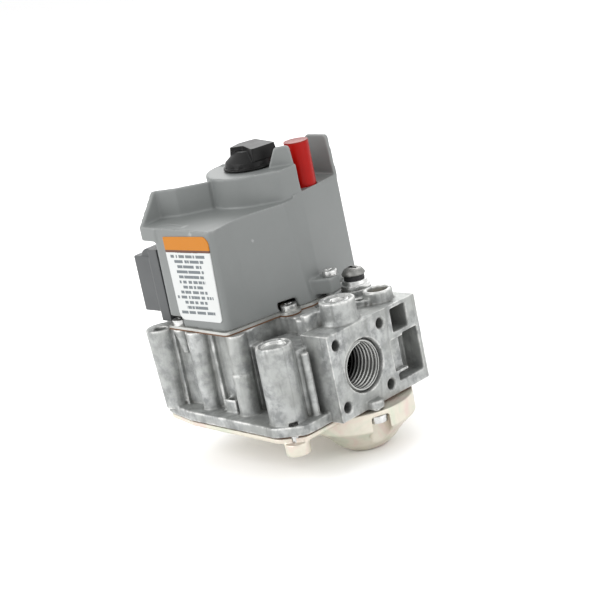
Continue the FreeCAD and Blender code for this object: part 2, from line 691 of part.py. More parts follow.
def cover_hollows():
    roof = Z_SHELF - COVER_WALL
    low = tapered(inset(COVER_FOOT, COVER_WALL), Z_COVER - 0.01, inset(COVER_HEAD, COVER_WALL), roof)
    skirt = rounded_prism(inset(COVER_FOOT, COVER_WALL), Z_COVER - 1, Z_COVER)
    deck = knob_deck(COVER_WALL, Z_SHELF - COVER_WALL - 0.5, Z_KNOB_DECK - COVER_WALL)
    guard = cyl(BUTTON_X, BUTTON_Y, Z_SHELF - 4, Z_KNOB_DECK, GUIDE_R + 1.8)
    hood = box(HOOD_X + COVER_WALL, -24.6, Z_HOOD - 1, -78.9, HOOD_Y1 - COVER_WALL, Z_SHELF - COVER_WALL)
    return [low, skirt, deck.cut(guard), hood]


def cover_openings():
    above_well = box(-64, 16, Z_WELL, -30, 50, Z_NEAR_FIN + 1)
    return [
        cyl(BUTTON_X, BUTTON_Y, BUTTON_FOOT - 6.5, Z_NEAR_FIN, GUIDE_R),
        cyl(KNOB_X, KNOB_Y, Z_SHELF, Z_NEAR_FIN, SHAFT_HOLE_R),
        box(-76.4, -31, Z_COVER - 1, -68.0, -21.4, Z_COVER + 3.9),
        box(-39.2, -5.0, Z_COVER - 1, -29.0, 3.2, Z_COVER + 3.6),
        cyl(LUG_SCREW[0], LUG_SCREW[1], LUG_BASE - 1, LUG_TOP + 1, SCREW_R + 0.15),
        box(-79.5, -22.0, 27.0, -74.0, 11.0, 46.0),
        cyl(REG_X, REG_Y, Z_COVER - 1, 31.0, REG_R + 0.8),
    ]


def button_clearance():
    # The well around the button is open above the well deck.
    corner = [(-37.0, 22.4), (-46.8, 14.6 + 1.9), (-47.6, 17.6), (-52.6, 23.6), (-56, 45.3), (-37, 45.3)]
    return prism(corner, Z_WELL, Z_NEAR_FIN + 1)


def operator_cover():
    solid = cover_outer()
    guide = ring(BUTTON_X, BUTTON_Y, GUIDE_FOOT, Z_WELL - 0.5, GUIDE_R + 1.6, GUIDE_R).common(solid)
    knob_room = cyl(KNOB_X, KNOB_Y, Z_SHELF, Z_NEAR_FIN, 14.5)
    scoop = cut(button_clearance(), [near_fin(), far_fin(), knob_room])
    solid = cut(solid, cover_hollows()).cut(scoop)
    floor = box(-56, 16, Z_SHELF - COVER_WALL, -36, 48, Z_WELL).common(cover_outer())
    floor = floor.common(rounded_prism(inset(COVER_HEAD, 0.1), Z_SHELF - 3, Z_WELL))
    solid = fuse([solid, floor, guide])
    return cut(solid, cover_openings())


def label():
    skin = tapered(inset(COVER_FOOT, -LABEL_T), Z_COVER, inset(COVER_HEAD, -LABEL_T), Z_SHELF)
    skin = skin.cut(tapered(COVER_FOOT, Z_COVER, COVER_HEAD, Z_SHELF))
    wire = rounded_wire(LABEL, lambda a, b: V(a, -35, b))
    return skin.common(Part.Face(wire).extrude(V(0, 12, 0)))


# ---- terminal block ----

def terminal_block():
    corners = [(TERM_X0, TERM_Y0), (TERM_X1, TERM_Y0), (TERM_X1, TERM_Y1), (TERM_X0, TERM_Y1)]
    outline = [(x, y, 0.8) for x, y in corners]
    body = rounded_prism(outline, TERM_Z0, TERM_Z1)
    plate = box(TERM_X1 + 0.02, TERM_Y0 - 0.6, 21.6, TERM_WALL_X, TERM_Y1 + 1, 51.6)
    spacer = box(TERM_X1 - 1, TERM_Y0 + 1, TERM_Z0 + 1, TERM_X1 + 1, TERM_Y1 - 1, TERM_Z1 - 1)
    roll = Part.makeCylinder(3.4, TERM_Y1 - TERM_Y0 - 2, V(-86.0, TERM_Y0 + 1, TERM_Z1 - 0.4), Y_AXIS)
    tongue = box(TERM_WALL_X - 1, -21.4, 27.6, -74.4, 10.4, 45.4)
    block = fuse([body, plate, spacer, roll, tongue])
    tools = []
    for y in TABS_Y:
        low = TAB_Z - TAB_POCKET_Z
        high = TAB_Z + TAB_POCKET_Z
        tools.append(box(TERM_X0 - 1, y - TAB_POCKET_Y, low, TERM_X0 + TAB_POCKET_X, y + TAB_POCKET_Y, high))
        tools.append(box(TERM_X0, y - TAB_W / 2, TAB_Z - TAB_T / 2, -74, y + TAB_W / 2, TAB_Z + TAB_T / 2))
    return cut(block, tools)


def terminal_tabs():
    tabs = []
    for y in TABS_Y:
        tab = box(TERM_X0 + 0.8, y - TAB_W / 2, TAB_Z - TAB_T / 2, -74.1, y + TAB_W / 2, TAB_Z + TAB_T / 2)
        tabs.append(tab.cut(cyl(TERM_X0 + 4.2, y, TAB_Z - 1, TAB_Z + 1, 0.9)))
    return tabs


# ---- knob, shaft and rotary disc ----

def control_knob():
    profile = [(0, KNOB_BASE), (KNOB_R, KNOB_BASE), (KNOB_R, KNOB_BASE + 0.8), (KNOB_R - 0.7, KNOB_BASE + 0.8),
               (KNOB_R - 1.2, KNOB_BASE + 3.0), (5.4, KNOB_TOP - 1.6), (0, KNOB_TOP - 1.6)]
    skirt = revolve_z(profile, KNOB_X, KNOB_Y)
    foot = [(KNOB_X + a, KNOB_Y + b, r) for a, b, r in inset(GRIP, -GRIP_SPREAD)]
    head = [(KNOB_X + a, KNOB_Y + b, r) for a, b, r in GRIP]
    grip = tapered(foot, KNOB_BASE + 3.2, head, KNOB_TOP)
    facets = []
    for i in range(9):
        notch = box(KNOB_R - 1.0, -1.1, KNOB_BASE + 0.8, KNOB_R + 2, 1.1, KNOB_BASE + 4.6)
        notch.rotate(V(0, 0, 0), Z_AXIS, 150 + 24 * i)
        notch.translate(V(KNOB_X, KNOB_Y, 0))
        facets.append(notch)
    socket = cyl(KNOB_X, KNOB_Y, KNOB_BASE - 1, KNOB_BASE + 6.0, SHAFT_R)
    return cut(fuse([cut(skirt, facets), grip]), [socket])


def knob_shaft():
    rod = cyl(KNOB_X, KNOB_Y, MANUAL_POCKET_Z + 4.4, KNOB_BASE + 6.0, SHAFT_R)
    collar = cyl(KNOB_X, KNOB_Y, Z_COVER + 0.4, Z_COVER + 2.4, 5.0)
    return fuse([rod, collar])


def manual_disc():
    disc = cyl(KNOB_X, KNOB_Y, MANUAL_POCKET_Z + 0.4, MANUAL_POCKET_Z + 4.4, MANUAL_DISC_R)
    port = cyl(KNOB_X + 5.6, KNOB_Y, MANUAL_POCKET_Z, MANUAL_POCKET_Z + 5, 2.4)
    return disc.cut(port)


# ---- reset button and safety valve ----

def reset_button():
    body = cyl(BUTTON_X, BUTTON_Y, BUTTON_FOOT, BUTTON_TOP, BUTTON_R)
    flange = cyl(BUTTON_X, BUTTON_Y, BUTTON_FOOT, BUTTON_FOOT + 1.8, BUTTON_FLANGE_R)
    room = box(BUTTON_X - 10, BUTTON_Y - 10, BUTTON_FOOT, BUTTON_X + BUTTON_FLAT, BUTTON_Y + 10, BUTTON_TOP)
    flange = flange.common(room)
    socket = cyl(BUTTON_X, BUTTON_Y, BUTTON_FOOT - 1, BUTTON_FOOT + 8, STEM_R)
    return fuse([body, flange]).cut(socket)


def reset_stem():
    return cyl(BUTTON_X, BUTTON_Y, STEM_FOOT, BUTTON_FOOT + 8, STEM_R)


def reset_spring():
    return helix_spring(BUTTON_X, BUTTON_Y, Z_COVER + 0.1, BUTTON_FOOT - 0.1, 4.3, 0.55, 8)


def safety_disc():
    disc = cyl(BUTTON_X, BUTTON_Y, SAFETY_Z, SAFETY_Z + 2.0, SAFETY_DISC_R)
    return fuse([disc, cyl(BUTTON_X, BUTTON_Y, SAFETY_Z - 1.4, SAFETY_Z, 2.4)])


def power_unit():
    foot = Z_BASE + 0.05
    flange = cyl(BUTTON_X, BUTTON_Y, foot, foot + 1.5, SAFETY_ROOM_R - 0.1)
    can = cyl(BUTTON_X, BUTTON_Y, foot, POWER_TOP - 0.4, POWER_R)
    return fuse([flange, can, cyl(BUTTON_X, BUTTON_Y, foot, POWER_TOP, 3.0)])


def thermocouple_nut():
    neck = Part.makeCylinder(THERMO_R, 7.0, V(BUTTON_X, NUT_Y - 7.0, THERMO_Z), Y_AXIS)
    angles = [math.radians(60 * i) for i in range(6)]
    pts = [V(BUTTON_X + NUT_HALF * math.cos(a), NUT_Y, THERMO_Z + NUT_HALF * math.sin(a)) for a in angles]
    head = Part.Face(Part.makePolygon(pts + [pts[0]])).extrude(V(0, 5.0, 0))
    bore = Part.makeCylinder(1.8, 14, V(BUTTON_X, NUT_Y - 8, THERMO_Z), Y_AXIS)
    return fuse([neck, head]).cut(bore)


# ---- solenoids ----

def coil_windings():
    return [ring(x, y, COIL_Z0 + FLANGE_T, COIL_Z1 - FLANGE_T, COIL_R, BOBBIN_R) for x, y in COILS]


def coil_bobbins():
    out = []
    for x, y in COILS:
        tube = ring(x, y, COIL_Z0, COIL_Z1, BOBBIN_R, BORE_R)
        ends = [ring(x, y, z, z + FLANGE_T, COIL_FLANGE_R, BORE_R) for z in (COIL_Z0, COIL_Z1 - FLANGE_T)]
        out.append(fuse([tube] + ends))
    return out


def coil_frames():
    out = []
    for x, y in COILS:
        low = box(x - 6, y - 6.5, Z_COVER, x + 6, y + 9.2, COIL_Z0)
        high = box(x - 6, y - 6.5, COIL_Z1, x + 6, y + 9.2, COIL_Z1 + FRAME_T)
        back = box(x - 6, y + 7.8, Z_COVER, x + 6, y + 9.2, COIL_Z1 + FRAME_T)
        frame = fuse([low, high, back])
        out.append(frame.cut(cyl(x, y, Z_COVER - 1, COIL_Z0 + 1, BORE_R + 0.1)))
    return out


def plunger(index):
    x, y = COILS[index]
    rod = cyl(x, y, SERVO_Z + 3.4, COIL_Z1 - 5.0, PLUNGER_R)
    tip = cyl(x, y, SERVO_Z + 0.4, SERVO_Z + 3.4, 4.4)
    return fuse([rod, tip])


def plunger_spring(index):
    x, y = COILS[index]
    return helix_spring(x, y, COIL_Z1 - 4.9, COIL_Z1 - 0.1, 2.2, 0.4, 3)


# ---- main valve ----

def main_valve():
    disc = cyl(MAIN_X, MAIN_Y, MAIN_SEAT_Z + 0.05, MAIN_DISC_TOP, MAIN_DISC_R)
    stem = cyl(MAIN_X, MAIN_Y, Z_BASE + 0.2, MAIN_SEAT_Z + 0.05, 1.6)
    return fuse([disc, stem])


def main_spring():
    return helix_spring(MAIN_X, MAIN_Y, MAIN_DISC_TOP + 0.1, MAIN_BORE_TOP - 0.1, 3.4, 0.4, 7)


def main_diaphragm():
    return cyl(MAIN_X, MAIN_Y, Z_FOOT_GASKET, Z_BASE, DIAPHRAGM_R - 0.05)


def diaphragm_plate():
    return cyl(MAIN_X, MAIN_Y, Z_FOOT_GASKET - 1.4, Z_FOOT_GASKET - 0.05, 10.0)


# ---- regulator ----

def regulator_lid():
    lid = ring(REG_X, REG_Y, REG_BOSS_Z, REG_LID_Z, REG_R, REG_HOLE_R)
    step = ring(REG_X, REG_Y, REG_LID_Z, REG_LID_Z + 1.6, REG_R - 0.9, REG_HOLE_R)
    return fuse([lid, step])


def regulator_seal():
    return ring(REG_X, REG_Y, REG_LID_Z + 1.6, REG_CAP_Z, 4.2, REG_HOLE_R)


def regulator_cap():
    profile = [(0, REG_CAP_Z), (REG_CAP_R, REG_CAP_Z), (REG_CAP_R, REG_CAP_Z + 0.6),
               (REG_CAP_R - 1.0, REG_CAP_TOP - 0.7), (REG_CAP_R - 2.4, REG_CAP_TOP), (0, REG_CAP_TOP)]
    cap = revolve_z(profile, REG_X, REG_Y)
    return cap.cut(box(REG_X - 2.2, REG_Y - 0.5, REG_CAP_TOP - 0.8, REG_X + 2.2, REG_Y + 0.5, REG_CAP_TOP + 1))


def regulator_screw():
    screw = cyl(REG_X, REG_Y, 21.4, 24.8, REG_HOLE_R - 0.06)
    return screw.cut(box(REG_X - 2.4, REG_Y - 0.4, 23.8, REG_X + 2.4, REG_Y + 0.4, 25.2))


def regulator_spring():
    return helix_spring(REG_X, REG_Y, 11.1, 21.3, 2.7, 0.35, 6)


def regulator_piston():
    return cyl(REG_X, REG_Y, 9.2, 11.0, 4.4)


# ---- taps and plugs ----

def hex_socket_plug(x, y, z_top, depth, r, across):
    plug = cyl(x, y, z_top - depth, z_top, r)
    corner = across / 2 / math.cos(math.radians(30))
    angles = [math.radians(60 * i) for i in range(6)]
    points = [(x + corner * math.cos(a), y + corner * math.sin(a)) for a in angles]
    return plug.cut(prism(points, z_top - depth * 0.7, z_top + 1))


def tap_plug():
    return hex_socket_plug(TAP_X, TAP_Y, TAP_TOP - 0.4, TAP_DEPTH - 0.4, TAP_R, 4.7)


def pilot_seat():
    return ring(PILOT_X, PILOT_Y, PILOT_TOP - PILOT_SEAT_DEPTH, PILOT_TOP - PILOT_DEPTH, PILOT_SEAT_R, 1.6)


def column_plug():
    base = COL_E_TOP_Z - COL_E_PLUG_DEPTH
    cup = cyl(COL_E_X, COL_E_Y, base, base + 1.8, COL_E_PLUG_R)
    return cup.cut(cyl(COL_E_X, COL_E_Y, base + 0.7, base + 2, COL_E_PLUG_R - 1.0))


def plate_screws():
    return [pan_screw(x, y, Z_COVER, 7.0, SCREW_HEAD_R, SCREW_HEAD_H, 1) for x, y in PLATE_SCREWS]


def lug_screw():
    return pan_screw(LUG_SCREW[0], LUG_SCREW[1], LUG_TOP, 13.0, 3.0, 2.4, 1)


def foot_screws():
    screws = []
    for i, (x, y) in enumerate(FOOT_SCREWS):
        drop = FOOT_LUG_H if i == 2 else 0
        screws.append(pan_screw(x, y, Z_FOOT_PLATE - drop, 6.5 + drop, FOOT_HEAD_R, FOOT_HEAD_H, -1))
    for x, y in dome_screws():
        screws.append(pan_screw(x, y, Z_FOOT_PLATE, 4.6, FOOT_HEAD_R, FOOT_HEAD_H, -1))
    return screws


def inlet_screen():
    x0 = INLET_X + PIPE_DEPTH + 0.6
    disc = Part.makeCylinder(7.9, 0.6, V(x0, 0, INLET_Z), X_AXIS)
    holes = []
    for i in range(-3, 4):
        for j in range(-3, 4):
            if i * i + j * j < 10:
                start = V(x0 - 1, i * 2.0, INLET_Z + j * 2.0)
                holes.append(Part.makeCylinder(0.7, 2, start, X_AXIS))
    return cut(disc, holes)


NODES = [
    ("valve_body", lambda: [valve_body()]),
    ("deck_gasket", lambda: [plate_sheet(Z_DECK, Z_PLATE)]),
    ("operator_plate", lambda: [plate_sheet(Z_PLATE, Z_COVER)]),
    ("foot_gasket", lambda: [foot_gasket()]),
    ("bottom_cover", lambda: [bottom_cover()]),
    ("foot_screws", foot_screws),
    ("plate_screws", plate_screws),
    ("lug_screw", lambda: [lug_screw()]),
    ("operator_cover", lambda: [operator_cover()]),
    ("info_label", lambda: [label()]),
    ("terminal_block", lambda: [terminal_block()]),
    ("terminal_tabs", terminal_tabs),
    ("control_knob", lambda: [control_knob()]),
    ("knob_shaft", lambda: [knob_shaft()]),
    ("manual_disc", lambda: [manual_disc()]),
    ("reset_button", lambda: [reset_button()]),
    ("reset_stem", lambda: [reset_stem()]),
    ("reset_spring", lambda: [reset_spring()]),
    ("safety_disc", lambda: [safety_disc()]),
    ("power_unit", lambda: [power_unit()]),
    ("thermocouple_nut", lambda: [thermocouple_nut()]),
    ("coil_windings", coil_windings),
    ("coil_bobbins", coil_bobbins),
    ("coil_frames", coil_frames),
    ("plunger_first", lambda: [plunger(0)]),
    ("plunger_second", lambda: [plunger(1)]),
    ("plunger_spring_first", lambda: [plunger_spring(0)]),
    ("plunger_spring_second", lambda: [plunger_spring(1)]),
    ("main_valve", lambda: [main_valve()]),
    ("main_spring", lambda: [main_spring()]),
    ("main_diaphragm", lambda: [main_diaphragm()]),
    ("diaphragm_plate", lambda: [diaphragm_plate()]),
    ("regulator_lid", lambda: [regulator_lid()]),
    ("regulator_seal", lambda: [regulator_seal()]),
    ("regulator_cap", lambda: [regulator_cap()]),
    ("regulator_screw", lambda: [regulator_screw()]),
    ("regulator_spring", lambda: [regulator_spring()]),
    ("regulator_piston", lambda: [regulator_piston()]),
    ("tap_plug", lambda: [tap_plug()]),
    ("pilot_seat", lambda: [pilot_seat()]),
    ("column_plug", lambda: [column_plug()]),
    ("inlet_screen", lambda: [inlet_screen()]),
]


os.makedirs(PARTS, exist_ok=True)
for node, make in NODES:
    save(node, make())
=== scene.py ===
import math
import bpy
from mathutils import Matrix, Vector


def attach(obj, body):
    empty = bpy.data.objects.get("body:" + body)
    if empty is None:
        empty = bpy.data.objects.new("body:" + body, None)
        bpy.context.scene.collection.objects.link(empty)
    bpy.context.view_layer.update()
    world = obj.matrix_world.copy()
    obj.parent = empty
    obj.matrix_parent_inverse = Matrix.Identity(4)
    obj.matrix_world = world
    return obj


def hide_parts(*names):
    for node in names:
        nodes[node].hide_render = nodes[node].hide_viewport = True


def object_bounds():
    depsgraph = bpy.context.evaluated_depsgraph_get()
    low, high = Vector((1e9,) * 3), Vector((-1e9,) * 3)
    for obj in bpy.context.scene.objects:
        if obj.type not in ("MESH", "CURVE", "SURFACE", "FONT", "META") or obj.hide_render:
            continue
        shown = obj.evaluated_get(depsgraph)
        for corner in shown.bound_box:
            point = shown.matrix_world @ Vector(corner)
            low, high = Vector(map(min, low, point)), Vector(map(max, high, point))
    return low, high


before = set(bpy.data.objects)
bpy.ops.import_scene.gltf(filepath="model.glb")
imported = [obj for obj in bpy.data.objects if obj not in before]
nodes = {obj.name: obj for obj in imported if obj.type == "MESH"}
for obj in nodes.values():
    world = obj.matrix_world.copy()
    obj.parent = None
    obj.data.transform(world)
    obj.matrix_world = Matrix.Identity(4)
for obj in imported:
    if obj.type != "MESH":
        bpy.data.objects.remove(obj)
cad_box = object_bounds()

# ---- Die-cast body ----
# The body is one aluminium die casting with cored pockets, screw bosses and two pipe ports.
# Every edge of a casting is rounded and its skin is mottled, so the piece is a softened copy of the solid
# with a rough, cloudy metal skin that is brighter along its edges, partly rubbed wear and partly painted
# highlight.


def linear(text):
    channels = [int(text[i:i + 2], 16) / 255 for i in (0, 2, 4)]
    return [c / 12.92 if c <= 0.04045 else ((c + 0.055) / 1.055) ** 2.4 for c in channels] + [1.0]


def add_node(tree, kind, inputs, **settings):
    made = tree.nodes.new(kind)
    for key, value in settings.items():
        setattr(made, key, value)
    for key, value in inputs.items():
        if isinstance(value, bpy.types.NodeSocket):
            tree.links.new(value, made.inputs[key])
        else:
            made.inputs[key].default_value = value
    return made


def new_material(name):
    material = bpy.data.materials.new(name)
    material.use_nodes = True
    material.node_tree.nodes.clear()
    return material, material.node_tree


def finish_material(tree, shader):
    add_node(tree, "ShaderNodeOutputMaterial", {"Surface": shader.outputs[0]})


def dress(piece, material):
    piece.data.materials.clear()
    piece.data.materials.append(material)


def copy_of(node_name, piece_name):
    bpy.ops.object.select_all(action="DESELECT")
    piece = bpy.data.objects.new(piece_name, nodes[node_name].data.copy())
    bpy.context.scene.collection.objects.link(piece)
    bpy.context.view_layer.objects.active = piece
    piece.select_set(True)
    bpy.ops.object.mode_set(mode="EDIT")
    bpy.ops.mesh.select_all(action="SELECT")
    bpy.ops.mesh.remove_doubles(threshold=0.000002)
    bpy.ops.object.mode_set(mode="OBJECT")
    return piece


def apply_modifier(piece, kind, **settings):
    modifier = piece.modifiers.new(kind.lower(), kind)
    for key, value in settings.items():
        setattr(modifier, key, value)
    bpy.ops.object.modifier_apply(modifier=modifier.name)


def cast_copy(node_name, piece_name, voxel, rounds, keep, body, cutters=()):
    piece = copy_of(node_name, piece_name)
    for cutter in cutters:
        apply_modifier(piece, "BOOLEAN", object=cutter, operation="DIFFERENCE", solver="EXACT")
    apply_modifier(piece, "REMESH", mode="VOXEL", voxel_size=voxel, adaptivity=0.0)
    apply_modifier(piece, "SMOOTH", factor=0.5, iterations=rounds)
    apply_modifier(piece, "DECIMATE", ratio=keep)
    bpy.ops.object.mode_set(mode="EDIT")
    bpy.ops.mesh.select_all(action="SELECT")
    bpy.ops.mesh.dissolve_degenerate(threshold=0.00005)
    bpy.ops.mesh.normals_make_consistent(inside=False)
    bpy.ops.object.mode_set(mode="OBJECT")
    bpy.ops.object.shade_smooth()
    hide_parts(node_name)
    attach(piece, body)
    return piece


port_opening_radius = 0.01072
port_opening_depth = 0.0151


def port_cutter(mouth_x, mouth_z):
    bpy.ops.object.select_all(action="DESELECT")
    bpy.ops.mesh.primitive_cylinder_add(vertices=96, radius=port_opening_radius, depth=2 * port_opening_depth,
                                        location=(mouth_x, 0.0, mouth_z), rotation=(0.0, math.pi / 2, 0.0))
    bpy.ops.object.transform_apply(location=True, rotation=True, scale=True)
    return bpy.context.object


# Each port: its thread's name, where its mouth stands along X and in height, and which way is inward.
ports = (("outlet_thread", 0.0, 0.0, -1), ("inlet_thread", -0.098, -0.0014, 1))
port_middle = 0.049
# The ports are opened to the thread's full depth, and the threads are set in as pieces of their own.
cutters = [port_cutter(mouth_x, mouth_z) for name, mouth_x, mouth_z, inward in ports]
casting = cast_copy("valve_body", "cast_body", 0.00045, 2, 0.28, "chassis", cutters)
for cutter in cutters:
    bpy.data.objects.remove(cutter)

cast_metal, tree = new_material("die_cast_aluminium")
place = add_node(tree, "ShaderNodeTexCoord", {}).outputs["Object"]
cloud = add_node(tree, "ShaderNodeTexNoise", {
    "Vector": place, "Scale": 210.0, "Detail": 5.0, "Roughness": 0.62})
grain = add_node(tree, "ShaderNodeTexNoise", {
    "Vector": place, "Scale": 900.0, "Detail": 4.0, "Roughness": 0.6})
flow = add_node(tree, "ShaderNodeTexNoise", {
    "Vector": place, "Scale": 38.0, "Detail": 3.0, "Distortion": 1.5})
edge = add_node(tree, "ShaderNodeNewGeometry", {}).outputs["Pointiness"]
# Convex edges are painted brighter: partly rubbed wear, partly a painted highlight where edges catch the
# light.
edge_wear_and_highlight_mask = add_node(tree, "ShaderNodeMapRange", {"Value": edge, "From Min": 0.504, "From Max": 0.55})
# Concave creases are painted darker: painted shade.
crease_shade_mask = add_node(tree, "ShaderNodeMapRange", {"Value": edge, "From Min": 0.495, "From Max": 0.44})
patch = add_node(tree, "ShaderNodeMapRange", {
    "Value": cloud.outputs["Fac"], "From Min": 0.4, "From Max": 0.6})
# Metal ran up the walls as the die filled, which leaves faint upright streaks.
upright = add_node(tree, "ShaderNodeMapping", {"Vector": place, "Scale": (300.0, 300.0, 34.0)})
run = add_node(tree, "ShaderNodeTexNoise", {
    "Vector": upright.outputs[0], "Scale": 1.0, "Detail": 3.0, "Distortion": 0.6})
streak = add_node(tree, "ShaderNodeMapRange", {
    "Value": run.outputs["Fac"], "From Min": 0.56, "From Max": 0.72, "To Max": 0.55})
drift = add_node(tree, "ShaderNodeMapRange", {
    "Value": flow.outputs["Fac"], "From Min": 0.35, "From Max": 0.7})
base = add_node(tree, "ShaderNodeMix", {
    0: patch.outputs[0], 6: linear("828484"), 7: linear("B0B2B1")}, data_type="RGBA")
tone = add_node(tree, "ShaderNodeMix", {
    0: drift.outputs[0], 6: base.outputs[2], 7: linear("989A97")}, data_type="RGBA")
streaked = add_node(tree, "ShaderNodeMix", {
    0: streak.outputs[0], 6: tone.outputs[2], 7: linear("70716F")}, data_type="RGBA")
edge_lightening = add_node(tree, "ShaderNodeMath", {0: edge_wear_and_highlight_mask.outputs[0], 1: patch.outputs[0]}, operation="MULTIPLY")
bright = add_node(tree, "ShaderNodeMix", {
    0: edge_lightening.outputs[0], 6: streaked.outputs[2], 7: linear("DEDEDB")}, data_type="RGBA")
shaded = add_node(tree, "ShaderNodeMix", {
    0: crease_shade_mask.outputs[0], 6: bright.outputs[2], 7: linear("5A5A56")}, data_type="RGBA")
# Recesses found by the ambient occlusion node are painted darker: painted shade.
hollow = add_node(tree, "ShaderNodeAmbientOcclusion", {"Distance": 0.011}, samples=6)
recess_shade_mask = add_node(tree, "ShaderNodeMapRange", {
    "Value": hollow.outputs["AO"], "From Min": 0.0, "From Max": 0.55})
recess_shade = add_node(tree, "ShaderNodeMix", {
    0: recess_shade_mask.outputs[0], 6: linear("747573"), 7: shaded.outputs[2]}, data_type="RGBA")
# Inside each port bore, beyond the thread, the casting is painted near black: painted shade deep in the bore.
split = add_node(tree, "ShaderNodeSeparateXYZ", {"Vector": place})
midway = add_node(tree, "ShaderNodeMath", {0: split.outputs["X"], 1: port_middle}, operation="ADD")
outward = add_node(tree, "ShaderNodeMath", {0: midway.outputs[0]}, operation="ABSOLUTE")
depth = add_node(tree, "ShaderNodeMapRange", {
    "Value": outward.outputs[0], "From Min": 0.0352, "From Max": 0.0338})
flat = add_node(tree, "ShaderNodeVectorMath", {0: place, 1: (0.0, 1.0, 1.0)}, operation="MULTIPLY")
reach = add_node(tree, "ShaderNodeVectorMath", {0: flat.outputs[0]}, operation="LENGTH")
inside = add_node(tree, "ShaderNodeMapRange", {
    "Value": reach.outputs["Value"], "From Min": 0.0108, "From Max": 0.0104})
port_shade_mask = add_node(tree, "ShaderNodeMath", {0: depth.outputs[0], 1: inside.outputs[0]}, operation="MULTIPLY")
skin = add_node(tree, "ShaderNodeMix", {
    0: port_shade_mask.outputs[0], 6: recess_shade.outputs[2], 7: linear("0B0B0B")}, data_type="RGBA")
rough = add_node(tree, "ShaderNodeMapRange", {
    "Value": grain.outputs["Fac"], "To Min": 0.36, "To Max": 0.58})
height = add_node(tree, "ShaderNodeMath", {
    0: cloud.outputs["Fac"], 1: grain.outputs["Fac"]}, operation="ADD")
bump = add_node(tree, "ShaderNodeBump", {"Height": height.outputs[0], "Strength": 0.55, "Distance": 0.0003})
metal = add_node(tree, "ShaderNodeBsdfPrincipled", {
    "Base Color": skin.outputs[2], "Metallic": 0.55, "Roughness": rough.outputs[0],
    "Normal": bump.outputs[0]})
finish_material(tree, metal)
dress(casting, cast_metal)

# ---- Pipe threads ----
# Each port carries a tapered internal pipe thread, 14 threads to the inch, cut after casting.
# The cut flanks are bare bright metal, so each thread is its own helical sleeve set into the port's mouth.

pitch = 0.0254 / 14
thread_crest = 0.0098
thread_root = 0.0106
thread_start = 0.0001
thread_turns = 8
thread_taper = 1 / 32


def thread_sleeve(name, mouth_x, mouth_z, inward):
    bpy.ops.object.select_all(action="DESELECT")
    mesh = bpy.data.meshes.new(name)
    steps = ((0.0, thread_crest), (0.18, thread_crest),
             (0.59, thread_root), (0.62, thread_root), (1.0, thread_crest))
    points = [(a * pitch, 0.0, r) for a, r in steps]
    mesh.from_pydata(points, [(i, i + 1) for i in range(len(points) - 1)], [])
    sleeve = bpy.data.objects.new(name, mesh)
    bpy.context.scene.collection.objects.link(sleeve)
    bpy.context.view_layer.objects.active = sleeve
    sleeve.select_set(True)
    apply_modifier(sleeve, "SCREW", axis="X", angle=math.tau, screw_offset=pitch, iterations=thread_turns,
                   steps=72, render_steps=72, use_merge_vertices=True, merge_threshold=0.00001)
    for vertex in sleeve.data.vertices:
        x = vertex.co.x
        shrink = 1 - x * thread_taper / thread_crest
        along = mouth_x + inward * (thread_start + x)
        vertex.co = Vector((along, vertex.co.y * shrink, mouth_z + vertex.co.z * shrink))
    apply_modifier(sleeve, "SOLIDIFY", thickness=0.0005, offset=-1.0)
    bpy.ops.object.mode_set(mode="EDIT")
    bpy.ops.mesh.select_all(action="SELECT")
    bpy.ops.mesh.normals_make_consistent(inside=False)
    bpy.ops.object.mode_set(mode="OBJECT")
    bpy.ops.object.shade_smooth_by_angle(angle=math.radians(30))
    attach(sleeve, "chassis")
    return sleeve


cut_metal, tree = new_material("cut_aluminium_thread")
place = add_node(tree, "ShaderNodeTexCoord", {}).outputs["Object"]
stretch = add_node(tree, "ShaderNodeMapping", {"Vector": place, "Scale": (2500.0, 90.0, 90.0)})
lines = add_node(tree, "ShaderNodeTexNoise", {"Vector": stretch.outputs[0], "Scale": 1.0, "Detail": 3.0})
tint = add_node(tree, "ShaderNodeMix", {
    0: lines.outputs["Fac"], 6: linear("8E8F8D"), 7: linear("C6C7C4")}, data_type="RGBA")
# The thread is painted darker the deeper it sits in the port: painted shade inside the bore.
split = add_node(tree, "ShaderNodeSeparateXYZ", {"Vector": place})
midway = add_node(tree, "ShaderNodeMath", {0: split.outputs["X"], 1: port_middle}, operation="ADD")
outward = add_node(tree, "ShaderNodeMath", {0: midway.outputs[0]}, operation="ABSOLUTE")
deep_port_shade_mask = add_node(tree, "ShaderNodeMapRange", {
    "Value": outward.outputs[0], "From Min": 0.0405, "From Max": 0.0345})
dark = add_node(tree, "ShaderNodeMix", {
    0: deep_port_shade_mask.outputs[0], 6: tint.outputs[2], 7: linear("1A1A1A")}, data_type="RGBA")
bump = add_node(tree, "ShaderNodeBump", {
    "Height": lines.outputs["Fac"], "Strength": 0.25, "Distance": 0.0001})
metal = add_node(tree, "ShaderNodeBsdfPrincipled", {
    "Base Color": dark.outputs[2], "Metallic": 0.8, "Roughness": 0.32, "Normal": bump.outputs[0]})
finish_material(tree, metal)
for name, mouth_x, mouth_z, inward in ports:
    dress(thread_sleeve(name, mouth_x, mouth_z, inward), cut_metal)

# ---- Bottom cover ----
# Drawn steel cover with a round dome over the diaphragm, zinc plated with a yellow chromate.
# The chromate gives a warm pale skin with faint pink and green clouds.

dome = cast_copy("bottom_cover", "dome_cover", 0.00042, 3, 0.3, "chassis")

